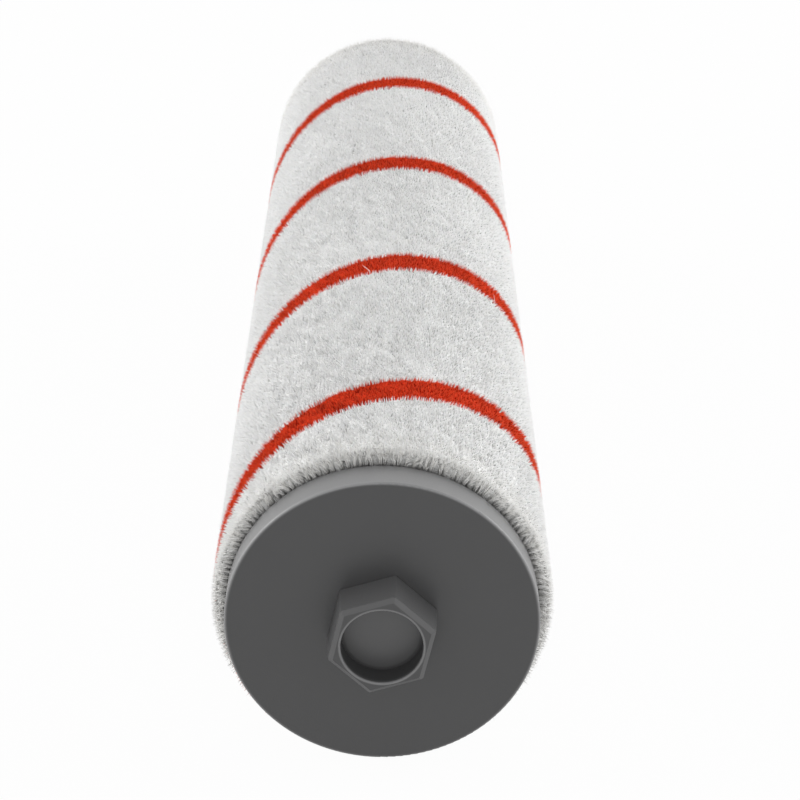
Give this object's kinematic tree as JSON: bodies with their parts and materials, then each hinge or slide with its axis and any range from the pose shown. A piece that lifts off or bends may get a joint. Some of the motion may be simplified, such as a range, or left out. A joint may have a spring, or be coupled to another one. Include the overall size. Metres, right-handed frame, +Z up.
{
  "type": "soft roller brush",
  "caption": "Soft roller brush for a vacuum floor head: plush pile with a red helical stripe on a tube, a hexagon drive cap at one end and a bearing-mounted idler axle at the other.",
  "frame": {"origin": "on the roller's axis, in the outer face of the drive cap's flange", "axes": "+Y along the roller from the hexagon drive end to the idler end, +Z up, the flat spot of the pile at -Z"},
  "size_m": [0.046, 0.2224, 0.0455],
  "materials": {
    "cap_plastic": "fine matt moulded surface, dark grey",
    "tube_plastic": "plain extruded tube, off-white",
    "grey_pile": "short dense plush, light grey with pale tips",
    "red_pile": "short dense plush, orange-red",
    "bearing_steel": "ground bearing steel",
    "shield_steel": "pressed sheet steel",
    "cage_plastic": "natural nylon",
    "axle_steel": "turned steel with a light zinc finish",
    "clip_steel": "blackened spring steel"
  },
  "bodies": {
    "roller": {"core_tube": "tube_plastic", "plush_strip": "grey_pile", "red_pile_strip": "red_pile", "drive_cap": "cap_plastic", "idler_cap": "cap_plastic", "bearing_outer_ring": "bearing_steel", "bearing_front_shield": "shield_steel", "bearing_back_shield": "shield_steel"},
    "idler": {"idler_axle": "axle_steel", "bearing_inner_ring": "bearing_steel", "axle_clip": "clip_steel"},
    "ball_cage": {"bearing_ball_1": "bearing_steel", "bearing_ball_2": "bearing_steel", "bearing_ball_3": "bearing_steel", "bearing_ball_4": "bearing_steel", "bearing_ball_5": "bearing_steel", "bearing_ball_6": "bearing_steel", "bearing_ball_7": "bearing_steel", "bearing_cage": "cage_plastic"}
  },
  "joints": [
    {"name": "idler_spin", "type": "hinge", "parent": "roller", "child": "idler", "pos_m": [0, 0.2026, 0], "axis": [0, 1, 0], "continuous": true},
    {"name": "cage_spin", "type": "hinge", "parent": "roller", "child": "ball_cage", "pos_m": [0, 0.2026, 0], "axis": [0, 1, 0], "continuous": true}
  ],
  "couplings": [
    {"joint": "cage_spin", "follows": "idler_spin", "ratio": 0.36}
  ]
}
